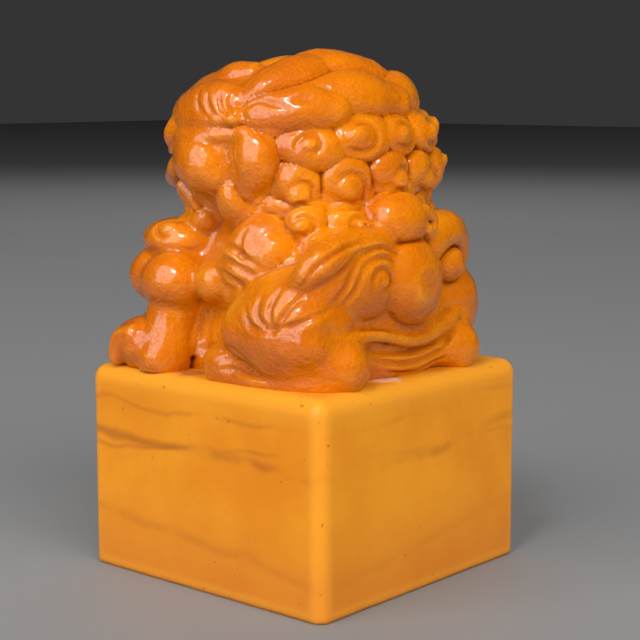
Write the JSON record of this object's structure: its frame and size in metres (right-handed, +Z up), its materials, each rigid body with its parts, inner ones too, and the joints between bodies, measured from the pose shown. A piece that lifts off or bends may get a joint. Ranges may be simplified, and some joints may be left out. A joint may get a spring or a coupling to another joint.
{
  "type": "seal stamp",
  "caption": "Square stone seal block with a seated guardian lion carved as its knob, standing on its flat, uncut seal face.",
  "frame": {"origin": "middle of the flat seal face, which is the bottom of the block", "axes": "+Z up from the seal face to the lion's crown, -Y the way the lion sits facing, +X to the lion's left, both along the block's sides"},
  "size_m": [0.03, 0.03, 0.0505],
  "materials": {
    "block_stone": "satin polished honey-coloured soapstone with red-brown veins",
    "carved_stone": "carved and waxed orange soapstone, redder in the cut lines"
  },
  "bodies": {
    "root": {"seal_block": "block_stone", "chest": "carved_stone", "crest": "carved_stone", "left_back_lock": "carved_stone", "left_beard": "carved_stone", "left_brow": "carved_stone", "left_cheek": "carved_stone", "left_crown_lock": "carved_stone", "left_ear": "carved_stone", "left_elbow_locks": "carved_stone", "left_eye": "carved_stone", "left_foreleg": "carved_stone", "left_forelock": "carved_stone", "left_forepaw": "carved_stone", "left_haunch_locks": "carved_stone", "left_hind_foot": "carved_stone", "left_hind_leg": "carved_stone", "left_lower_curls": "carved_stone", "left_lower_locks": "carved_stone", "left_neck_curl": "carved_stone", "left_side_lock": "carved_stone", "left_thigh": "carved_stone", "left_upper_curls": "carved_stone", "lower_jaw": "carved_stone", "muzzle": "carved_stone", "nape_lock": "carved_stone", "nape_lower_curls": "carved_stone", "nape_upper_curls": "carved_stone", "nose": "carved_stone", "right_back_lock": "carved_stone", "right_beard": "carved_stone", "right_brow": "carved_stone", "right_cheek": "carved_stone", "right_crown_lock": "carved_stone", "right_ear": "carved_stone", "right_elbow_locks": "carved_stone", "right_eye": "carved_stone", "right_foreleg": "carved_stone", "right_forelock": "carved_stone", "right_forepaw": "carved_stone", "right_haunch_locks": "carved_stone", "right_hind_foot": "carved_stone", "right_hind_leg": "carved_stone", "right_lower_curls": "carved_stone", "right_lower_locks": "carved_stone", "right_neck_curl": "carved_stone", "right_side_lock": "carved_stone", "right_thigh": "carved_stone", "right_upper_curls": "carved_stone", "skull": "carved_stone", "tail_left_scroll": "carved_stone", "tail_lower_sweep": "carved_stone", "tail_right_scroll": "carved_stone", "tail_stem": "carved_stone", "tail_upper_sweep": "carved_stone", "top_lock": "carved_stone", "trunk": "carved_stone", "upper_lip": "carved_stone"}
  },
  "joints": []
}
